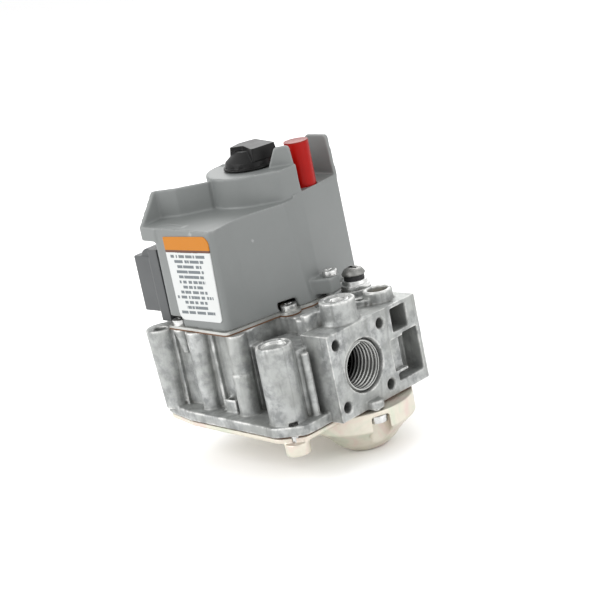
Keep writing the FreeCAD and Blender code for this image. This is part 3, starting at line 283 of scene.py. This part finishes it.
chromate, tree = new_material("yellow_chromate_zinc")
place = add_node(tree, "ShaderNodeTexCoord", {}).outputs["Object"]
veil = add_node(tree, "ShaderNodeTexNoise", {
    "Vector": place, "Scale": 70.0, "Detail": 4.0, "Distortion": 1.2})
streak = add_node(tree, "ShaderNodeTexNoise", {"Vector": place, "Scale": 420.0, "Detail": 3.0})
pink = add_node(tree, "ShaderNodeMapRange", {
    "Value": veil.outputs["Fac"], "From Min": 0.52, "From Max": 0.66})
green = add_node(tree, "ShaderNodeMapRange", {
    "Value": veil.outputs["Fac"], "From Min": 0.46, "From Max": 0.34})
base = add_node(tree, "ShaderNodeMix", {
    0: streak.outputs["Fac"], 6: linear("C9C3B4"), 7: linear("D8D3C6")}, data_type="RGBA")
rosy = add_node(tree, "ShaderNodeMix", {
    0: pink.outputs[0], 6: base.outputs[2], 7: linear("D2C2B8")}, data_type="RGBA")
mossy = add_node(tree, "ShaderNodeMix", {
    0: green.outputs[0], 6: rosy.outputs[2], 7: linear("C6C9B8")}, data_type="RGBA")
rough = add_node(tree, "ShaderNodeMapRange", {
    "Value": streak.outputs["Fac"], "To Min": 0.28, "To Max": 0.46})
bump = add_node(tree, "ShaderNodeBump", {
    "Height": streak.outputs["Fac"], "Strength": 0.12, "Distance": 0.0002})
metal = add_node(tree, "ShaderNodeBsdfPrincipled", {
    "Base Color": mossy.outputs[2], "Metallic": 0.6, "Roughness": rough.outputs[0],
    "Normal": bump.outputs[0]})
finish_material(tree, metal)
dress(dome, chromate)

# ---- Operator cover ----
# One grey nylon moulding: a tapered box with a raised round deck for the knob, two fins that guard the
# button, a low wall over the terminals and a screw lug.  Its skin has a fine spark-eroded texture.

cover = cast_copy("operator_cover", "grey_cover", 0.0005, 3, 0.5, "chassis")

grey_nylon, tree = new_material("moulded_grey_nylon")
place = add_node(tree, "ShaderNodeTexCoord", {}).outputs["Object"]
# The eroded texture is about 0.1 mm; it is drawn at 0.4 mm so that it shows.
pits = add_node(tree, "ShaderNodeTexNoise", {"Vector": place, "Scale": 2400.0, "Detail": 2.0})
haze = add_node(tree, "ShaderNodeTexNoise", {
    "Vector": place, "Scale": 55.0, "Detail": 4.0, "Roughness": 0.6})
edge = add_node(tree, "ShaderNodeNewGeometry", {}).outputs["Pointiness"]
# The cover is painted lighter along its convex edges.
edge_lightening = add_node(tree, "ShaderNodeMapRange", {
    "Value": edge, "From Min": 0.51, "From Max": 0.6, "To Max": 0.6})
base = add_node(tree, "ShaderNodeMix", {
    0: haze.outputs["Fac"], 6: linear("6B6E6D"), 7: linear("767978")}, data_type="RGBA")
tone = add_node(tree, "ShaderNodeMix", {
    0: edge_lightening.outputs[0], 6: base.outputs[2], 7: linear("9A9C9A")}, data_type="RGBA")
rough = add_node(tree, "ShaderNodeMapRange", {"Value": haze.outputs["Fac"], "To Min": 0.4, "To Max": 0.52})
bump = add_node(tree, "ShaderNodeBump", {
    "Height": pits.outputs["Fac"], "Strength": 0.12, "Distance": 0.0001})
plastic = add_node(tree, "ShaderNodeBsdfPrincipled", {
    "Base Color": tone.outputs[2], "Roughness": rough.outputs[0], "IOR": 1.53, "Normal": bump.outputs[0]})
finish_material(tree, plastic)
dress(cover, grey_nylon)

# ---- Notice label ----
# A printed film on the side of the cover: an amber head band, a brown rule, then rows of small grey print
# that stay plain bars, on a white ground.  The rows are laid out on the label's own face.

row_pitch = 0.0021
rule_height = 0.0278
band_height = 0.0288

film, tree = new_material("printed_label_film")
place = add_node(tree, "ShaderNodeTexCoord", {}).outputs["Object"]
split = add_node(tree, "ShaderNodeSeparateXYZ", {"Vector": place})
across = add_node(tree, "ShaderNodeMath", {0: split.outputs["X"], 1: 0.0699}, operation="ADD")
lean = add_node(tree, "ShaderNodeMath", {
    0: across.outputs[0], 1: -0.045, 2: split.outputs["Z"]}, operation="MULTIPLY_ADD")
up = add_node(tree, "ShaderNodeMath", {0: lean.outputs[0], 1: -0.0241}, operation="ADD")
band = add_node(tree, "ShaderNodeMath", {0: up.outputs[0], 1: band_height}, operation="GREATER_THAN")
rule = add_node(tree, "ShaderNodeMath", {0: up.outputs[0], 1: rule_height}, operation="GREATER_THAN")
row_count = add_node(tree, "ShaderNodeMath", {0: up.outputs[0], 1: 1 / row_pitch}, operation="MULTIPLY")
row = add_node(tree, "ShaderNodeMath", {0: row_count.outputs[0]}, operation="FLOOR")
within = add_node(tree, "ShaderNodeMath", {0: row_count.outputs[0]}, operation="FRACT")
row_low = add_node(tree, "ShaderNodeMath", {0: within.outputs[0], 1: 0.18}, operation="GREATER_THAN")
row_high = add_node(tree, "ShaderNodeMath", {0: within.outputs[0], 1: 0.76}, operation="LESS_THAN")
row_band = add_node(tree, "ShaderNodeMath", {
    0: row_low.outputs[0], 1: row_high.outputs[0]}, operation="MULTIPLY")
spread = add_node(tree, "ShaderNodeMath", {0: across.outputs[0], 1: 620.0}, operation="MULTIPLY")
spot = add_node(tree, "ShaderNodeCombineXYZ", {"X": spread.outputs[0], "Y": row.outputs[0]})
words = add_node(tree, "ShaderNodeTexNoise", {"Vector": spot.outputs[0], "Scale": 1.0, "Detail": 1.0})
word = add_node(tree, "ShaderNodeMath", {0: words.outputs["Fac"], 1: 0.44}, operation="GREATER_THAN")
line_length = add_node(tree, "ShaderNodeTexWhiteNoise", {"W": row.outputs[0]}, noise_dimensions="1D")
margin = add_node(tree, "ShaderNodeMapRange", {
    "Value": line_length.outputs["Value"], "To Min": 0.0015, "To Max": 0.0068})
off_centre = add_node(tree, "ShaderNodeMath", {0: across.outputs[0], 1: -0.0135}, operation="ADD")
side = add_node(tree, "ShaderNodeMath", {0: off_centre.outputs[0]}, operation="ABSOLUTE")
limit = add_node(tree, "ShaderNodeMath", {0: 0.0128, 1: margin.outputs[0]}, operation="SUBTRACT")
in_line = add_node(tree, "ShaderNodeMath", {0: side.outputs[0], 1: limit.outputs[0]}, operation="LESS_THAN")
above = add_node(tree, "ShaderNodeMath", {0: up.outputs[0], 1: row_pitch}, operation="GREATER_THAN")
print_a = add_node(tree, "ShaderNodeMath", {
    0: row_band.outputs[0], 1: word.outputs[0]}, operation="MULTIPLY")
print_b = add_node(tree, "ShaderNodeMath", {
    0: print_a.outputs[0], 1: in_line.outputs[0]}, operation="MULTIPLY")
ink = add_node(tree, "ShaderNodeMath", {0: print_b.outputs[0], 1: above.outputs[0]}, operation="MULTIPLY")
paper = add_node(tree, "ShaderNodeMix", {
    0: ink.outputs[0], 6: linear("C2C4C3"), 7: linear("656B6E")}, data_type="RGBA")
ruled = add_node(tree, "ShaderNodeMix", {
    0: rule.outputs[0], 6: paper.outputs[2], 7: linear("5A3A2C")}, data_type="RGBA")
headed = add_node(tree, "ShaderNodeMix", {
    0: band.outputs[0], 6: ruled.outputs[2], 7: linear("B06C08")}, data_type="RGBA")
wave = add_node(tree, "ShaderNodeTexNoise", {"Vector": place, "Scale": 300.0, "Detail": 2.0})
bump = add_node(tree, "ShaderNodeBump", {
    "Height": wave.outputs["Fac"], "Strength": 0.05, "Distance": 0.0002})
plastic = add_node(tree, "ShaderNodeBsdfPrincipled", {
    "Base Color": headed.outputs[2], "Roughness": 0.45, "Specular IOR Level": 0.3, "Normal": bump.outputs[0]})
finish_material(tree, plastic)
nodes["info_label"].data.materials.clear()
nodes["info_label"].data.materials.append(film)

# ---- Terminal block ----
# A dark moulded block on the cover's side with three sockets for push-on connectors.
# Its blades are tin-plated brass.

block = cast_copy("terminal_block", "wiring_block", 0.0004, 2, 0.35, "chassis")

dark_plastic, tree = new_material("moulded_dark_grey_plastic")
place = add_node(tree, "ShaderNodeTexCoord", {}).outputs["Object"]
pits = add_node(tree, "ShaderNodeTexNoise", {"Vector": place, "Scale": 2000.0, "Detail": 2.0})
haze = add_node(tree, "ShaderNodeTexNoise", {"Vector": place, "Scale": 90.0, "Detail": 3.0})
base = add_node(tree, "ShaderNodeMix", {
    0: haze.outputs["Fac"], 6: linear("3F4142"), 7: linear("4F5152")}, data_type="RGBA")
bump = add_node(tree, "ShaderNodeBump", {
    "Height": pits.outputs["Fac"], "Strength": 0.12, "Distance": 0.0001})
plastic = add_node(tree, "ShaderNodeBsdfPrincipled", {
    "Base Color": base.outputs[2], "Roughness": 0.48, "IOR": 1.52, "Normal": bump.outputs[0]})
finish_material(tree, plastic)
dress(block, dark_plastic)

# ---- Knob ----
# A black moulded knob: a round skirt with finger notches and a tall wedge-shaped grip across it.
# The moulding is satin, with soft edges that catch a thin line of light.

knob = cast_copy("control_knob", "black_knob", 0.0002, 1, 0.4, "knob")

black_plastic, tree = new_material("moulded_black_nylon")
place = add_node(tree, "ShaderNodeTexCoord", {}).outputs["Object"]
pits = add_node(tree, "ShaderNodeTexNoise", {"Vector": place, "Scale": 1800.0, "Detail": 3.0})
haze = add_node(tree, "ShaderNodeTexNoise", {"Vector": place, "Scale": 160.0, "Detail": 3.0})
base = add_node(tree, "ShaderNodeMix", {
    0: haze.outputs["Fac"], 6: linear("080808"), 7: linear("0F0F0F")}, data_type="RGBA")
rough = add_node(tree, "ShaderNodeMapRange", {"Value": haze.outputs["Fac"], "To Min": 0.34, "To Max": 0.5})
bump = add_node(tree, "ShaderNodeBump", {
    "Height": pits.outputs["Fac"], "Strength": 0.15, "Distance": 0.0001})
plastic = add_node(tree, "ShaderNodeBsdfPrincipled", {
    "Base Color": base.outputs[2], "Roughness": rough.outputs[0],
    "Specular IOR Level": 0.24, "Normal": bump.outputs[0]})
finish_material(tree, plastic)
dress(knob, black_plastic)

# ---- Reset button ----
# A red moulded push button with a rounded rim.
# Its top is painted a paler red as a painted highlight, and its sides are semi-gloss.


def eased_copy(node_name, piece_name, width, segments, body):
    piece = copy_of(node_name, piece_name)
    bpy.ops.object.mode_set(mode="EDIT")
    bpy.ops.mesh.select_all(action="SELECT")
    bpy.ops.mesh.dissolve_limited(angle_limit=math.radians(1.0))
    bpy.ops.object.mode_set(mode="OBJECT")
    apply_modifier(piece, "BEVEL", width=width, segments=segments, limit_method="ANGLE",
                   angle_limit=math.radians(40), use_clamp_overlap=True)
    apply_modifier(piece, "TRIANGULATE")
    bpy.ops.object.shade_smooth_by_angle(angle=math.radians(35))
    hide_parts(node_name)
    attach(piece, body)
    return piece


button = eased_copy("reset_button", "red_button", 0.0005, 3, "button")

red_plastic, tree = new_material("moulded_red_plastic")
place = add_node(tree, "ShaderNodeTexCoord", {}).outputs["Object"]
haze = add_node(tree, "ShaderNodeTexNoise", {"Vector": place, "Scale": 260.0, "Detail": 3.0})
split = add_node(tree, "ShaderNodeSeparateXYZ", {"Vector": place})
# The flat top is painted a paler red: a painted highlight.
top_highlight_mask = add_node(tree, "ShaderNodeMapRange", {
    "Value": split.outputs["Z"], "From Min": 0.0803, "From Max": 0.081})
base = add_node(tree, "ShaderNodeMix", {
    0: haze.outputs["Fac"], 6: linear("8E0703"), 7: linear("A00F08")}, data_type="RGBA")
pale = add_node(tree, "ShaderNodeMix", {
    0: top_highlight_mask.outputs[0], 6: base.outputs[2], 7: linear("7C231C")}, data_type="RGBA")
bump = add_node(tree, "ShaderNodeBump", {
    "Height": haze.outputs["Fac"], "Strength": 0.06, "Distance": 0.0002})
plastic = add_node(tree, "ShaderNodeBsdfPrincipled", {
    "Base Color": pale.outputs[2], "Roughness": 0.34, "Specular IOR Level": 0.15, "Normal": bump.outputs[0]})
finish_material(tree, plastic)
dress(button, red_plastic)

# ---- Plated steel: screws, regulator stack and plugs ----
# Small turned and pressed parts with bright zinc plating.
# The plating is slightly blue and shows fine turning lines and handling marks.

bright_zinc, tree = new_material("bright_zinc_plating")
place = add_node(tree, "ShaderNodeTexCoord", {}).outputs["Object"]
marks = add_node(tree, "ShaderNodeTexNoise", {"Vector": place, "Scale": 700.0, "Detail": 4.0})
base = add_node(tree, "ShaderNodeMix", {
    0: marks.outputs["Fac"], 6: linear("B9BAB9"), 7: linear("E2E2E0")}, data_type="RGBA")
rough = add_node(tree, "ShaderNodeMapRange", {"Value": marks.outputs["Fac"], "To Min": 0.2, "To Max": 0.4})
bump = add_node(tree, "ShaderNodeBump", {
    "Height": marks.outputs["Fac"], "Strength": 0.12, "Distance": 0.0001})
metal = add_node(tree, "ShaderNodeBsdfPrincipled", {
    "Base Color": base.outputs[2], "Metallic": 0.9, "Roughness": rough.outputs[0], "Normal": bump.outputs[0]})
finish_material(tree, metal)
for node_name, piece_name, slot_name in (
        ("plate_screws", "deck_screws", "zinc_screw"), ("lug_screw", "cover_screw", "zinc_screw"),
        ("foot_screws", "base_screws", "zinc_screw"), ("regulator_lid", "adjuster_collar", "zinc_screw"),
        ("column_plug", "pressed_plug", "zinc_screw"), ("tap_plug", "socket_plug", "steel_parts")):
    dress(eased_copy(node_name, piece_name, 0.00022, 2, "chassis"), bright_zinc)

dull_zinc, tree = new_material("handled_zinc_plating")
place = add_node(tree, "ShaderNodeTexCoord", {}).outputs["Object"]
marks = add_node(tree, "ShaderNodeTexNoise", {"Vector": place, "Scale": 480.0, "Detail": 5.0})
base = add_node(tree, "ShaderNodeMix", {
    0: marks.outputs["Fac"], 6: linear("6E6E6C"), 7: linear("9A9A97")}, data_type="RGBA")
rough = add_node(tree, "ShaderNodeMapRange", {
    "Value": marks.outputs["Fac"], "To Min": 0.34, "To Max": 0.55})
metal = add_node(tree, "ShaderNodeBsdfPrincipled", {
    "Base Color": base.outputs[2], "Metallic": 0.8, "Roughness": rough.outputs[0]})
finish_material(tree, metal)
dress(eased_copy("regulator_cap", "adjuster_cap", 0.00022, 2, "cap"), dull_zinc)

# ---- Sheet, gaskets and inner parts ----
# The zinc-plated operator plate, brown fibre gaskets, black rubber seals, brass fittings and the hidden
# valve parts keep the exact shape of the solids and only get their finish here.

sheet_zinc, tree = new_material("zinc_plated_sheet")
place = add_node(tree, "ShaderNodeTexCoord", {}).outputs["Object"]
marks = add_node(tree, "ShaderNodeTexNoise", {"Vector": place, "Scale": 350.0, "Detail": 4.0})
base = add_node(tree, "ShaderNodeMix", {
    0: marks.outputs["Fac"], 6: linear("A4A5A2"), 7: linear("C8C8C4")}, data_type="RGBA")
rough = add_node(tree, "ShaderNodeMapRange", {"Value": marks.outputs["Fac"], "To Min": 0.3, "To Max": 0.5})
metal = add_node(tree, "ShaderNodeBsdfPrincipled", {
    "Base Color": base.outputs[2], "Metallic": 0.8, "Roughness": rough.outputs[0]})
finish_material(tree, metal)

fibre, tree = new_material("pressed_gasket_fibre")
place = add_node(tree, "ShaderNodeTexCoord", {}).outputs["Object"]
flecks = add_node(tree, "ShaderNodeTexNoise", {
    "Vector": place, "Scale": 1300.0, "Detail": 5.0, "Roughness": 0.7})
base = add_node(tree, "ShaderNodeMix", {
    0: flecks.outputs["Fac"], 6: linear("4A3424"), 7: linear("74543C")}, data_type="RGBA")
bump = add_node(tree, "ShaderNodeBump", {
    "Height": flecks.outputs["Fac"], "Strength": 0.4, "Distance": 0.0002})
board = add_node(tree, "ShaderNodeBsdfPrincipled", {
    "Base Color": base.outputs[2], "Roughness": 0.85, "Normal": bump.outputs[0]})
finish_material(tree, board)

rubber, tree = new_material("moulded_nitrile_rubber")
place = add_node(tree, "ShaderNodeTexCoord", {}).outputs["Object"]
bloom = add_node(tree, "ShaderNodeTexNoise", {"Vector": place, "Scale": 420.0, "Detail": 4.0})
base = add_node(tree, "ShaderNodeMix", {
    0: bloom.outputs["Fac"], 6: linear("121212"), 7: linear("2A2A2B")}, data_type="RGBA")
bump = add_node(tree, "ShaderNodeBump", {
    "Height": bloom.outputs["Fac"], "Strength": 0.2, "Distance": 0.0002})
soft = add_node(tree, "ShaderNodeBsdfPrincipled", {
    "Base Color": base.outputs[2], "Roughness": 0.62, "Normal": bump.outputs[0]})
finish_material(tree, soft)

brass, tree = new_material("turned_brass")
place = add_node(tree, "ShaderNodeTexCoord", {}).outputs["Object"]
rings = add_node(tree, "ShaderNodeTexNoise", {"Vector": place, "Scale": 600.0, "Detail": 3.0})
base = add_node(tree, "ShaderNodeMix", {
    0: rings.outputs["Fac"], 6: linear("B08A42"), 7: linear("D9B870")}, data_type="RGBA")
rough = add_node(tree, "ShaderNodeMapRange", {
    "Value": rings.outputs["Fac"], "To Min": 0.22, "To Max": 0.42})
metal = add_node(tree, "ShaderNodeBsdfPrincipled", {
    "Base Color": base.outputs[2], "Metallic": 1.0, "Roughness": rough.outputs[0]})
finish_material(tree, metal)

tin, tree = new_material("tinned_brass_blade")
place = add_node(tree, "ShaderNodeTexCoord", {}).outputs["Object"]
dull = add_node(tree, "ShaderNodeTexNoise", {"Vector": place, "Scale": 500.0, "Detail": 3.0})
base = add_node(tree, "ShaderNodeMix", {
    0: dull.outputs["Fac"], 6: linear("ABA698"), 7: linear("CFCBBE")}, data_type="RGBA")
metal = add_node(tree, "ShaderNodeBsdfPrincipled", {
    "Base Color": base.outputs[2], "Metallic": 1.0, "Roughness": 0.36})
finish_material(tree, metal)

steel, tree = new_material("turned_steel")
place = add_node(tree, "ShaderNodeTexCoord", {}).outputs["Object"]
oil = add_node(tree, "ShaderNodeTexNoise", {"Vector": place, "Scale": 450.0, "Detail": 4.0})
base = add_node(tree, "ShaderNodeMix", {
    0: oil.outputs["Fac"], 6: linear("4E4F51"), 7: linear("85868A")}, data_type="RGBA")
rough = add_node(tree, "ShaderNodeMapRange", {"Value": oil.outputs["Fac"], "To Min": 0.25, "To Max": 0.5})
metal = add_node(tree, "ShaderNodeBsdfPrincipled", {
    "Base Color": base.outputs[2], "Metallic": 1.0, "Roughness": rough.outputs[0]})
finish_material(tree, metal)

wire, tree = new_material("drawn_spring_wire")
place = add_node(tree, "ShaderNodeTexCoord", {}).outputs["Object"]
drawn = add_node(tree, "ShaderNodeTexNoise", {"Vector": place, "Scale": 1500.0, "Detail": 3.0})
base = add_node(tree, "ShaderNodeMix", {
    0: drawn.outputs["Fac"], 6: linear("2E2E30"), 7: linear("56575A")}, data_type="RGBA")
metal = add_node(tree, "ShaderNodeBsdfPrincipled", {
    "Base Color": base.outputs[2], "Metallic": 1.0, "Roughness": 0.4})
finish_material(tree, metal)

copper, tree = new_material("enamelled_copper_winding")
place = add_node(tree, "ShaderNodeTexCoord", {}).outputs["Object"]
turns = add_node(tree, "ShaderNodeTexWave", {
    "Vector": place, "Scale": 900.0, "Distortion": 0.4}, bands_direction="Z")
base = add_node(tree, "ShaderNodeMix", {
    0: turns.outputs["Fac"], 6: linear("5A2411"), 7: linear("B4602F")}, data_type="RGBA")
bump = add_node(tree, "ShaderNodeBump", {
    "Height": turns.outputs["Fac"], "Strength": 0.5, "Distance": 0.0002})
metal = add_node(tree, "ShaderNodeBsdfPrincipled", {
    "Base Color": base.outputs[2], "Metallic": 0.7, "Roughness": 0.35, "Normal": bump.outputs[0]})
finish_material(tree, metal)

finishes = {
    "deck_gasket": fibre, "foot_gasket": fibre, "operator_plate": sheet_zinc, "coil_frames": sheet_zinc,
    "diaphragm_plate": sheet_zinc, "inlet_screen": sheet_zinc, "terminal_tabs": tin, "knob_shaft": brass,
    "manual_disc": brass, "thermocouple_nut": brass, "regulator_piston": brass, "pilot_seat": brass,
    "reset_stem": steel, "power_unit": steel, "plunger_first": steel, "plunger_second": steel,
    "main_valve": steel, "reset_spring": wire, "plunger_spring_first": wire,
    "plunger_spring_second": wire, "main_spring": wire, "regulator_spring": wire, "safety_disc": rubber,
    "main_diaphragm": rubber, "regulator_seal": rubber, "coil_windings": copper, "coil_bobbins": dark_plastic,
    "regulator_screw": dark_plastic,
}
for node_name, material in finishes.items():
    nodes[node_name].data.materials.clear()
    nodes[node_name].data.materials.append(material)

# ---- Floor, light and camera ----
# A plain white floor under soft studio light: a broad key from the left, a weaker fill from the right and a
# high back light that puts a sheen on the flat tops.

floor_z = cad_box[0][2] - 0.0002
bpy.ops.object.select_all(action="DESELECT")
bpy.ops.mesh.primitive_plane_add(size=12.0, location=(0.0, 0.0, floor_z))
floor = bpy.context.object
floor.name = "floor"
pale, tree = new_material("pale_floor")
paint = add_node(tree, "ShaderNodeBsdfPrincipled", {"Base Color": linear("FCFCFC"), "Roughness": 0.95})
finish_material(tree, paint)
floor.data.materials.append(pale)

world = bpy.data.worlds.new("studio")
bpy.context.scene.world = world
world.use_nodes = True
world.node_tree.nodes["Background"].inputs["Color"].default_value = (1.0, 1.0, 1.0, 1.0)
world.node_tree.nodes["Background"].inputs["Strength"].default_value = 1.0

centre = Vector([(cad_box[0][i] + cad_box[1][i]) / 2 for i in range(3)])


def softbox(name, position, size, power):
    light = bpy.data.lights.new(name, "AREA")
    light.shape = "SQUARE"
    light.size = size
    light.energy = power
    lamp = bpy.data.objects.new(name, light)
    lamp.location = centre + Vector(position)
    lamp.rotation_euler = Vector(position).to_track_quat("Z", "Y").to_euler()
    bpy.context.scene.collection.objects.link(lamp)


softbox("key", (-0.35, -0.75, 0.55), 0.8, 6.0)
softbox("fill", (0.8, 0.15, 0.35), 0.7, 2.0)
softbox("back", (-0.45, 0.65, 0.6), 0.6, 4.5)

azimuth = math.radians(47.27)
elevation = math.radians(15.97)
roll = math.radians(-11.64)
back = Vector((
    math.sin(azimuth) * math.cos(elevation), -math.cos(azimuth) * math.cos(elevation), math.sin(elevation)))
right = Vector((0.0, 0.0, 1.0)).cross(back).normalized()
upward = back.cross(right)
rolled_right = right * math.cos(roll) + upward * math.sin(roll)
rolled_up = upward * math.cos(roll) - right * math.sin(roll)
lens = bpy.data.cameras.new("camera")
lens.lens = 120.0
lens.sensor_width = 36.0
camera = bpy.data.objects.new("camera", lens)
bpy.context.scene.collection.objects.link(camera)
stand = (0.5263, -0.5125, 0.24105)
rows = [[rolled_right[i], rolled_up[i], back[i], stand[i]] for i in range(3)]
camera.matrix_world = Matrix(rows + [[0, 0, 0, 1]])
bpy.context.scene.camera = camera
bpy.context.scene.view_settings.view_transform = "Standard"
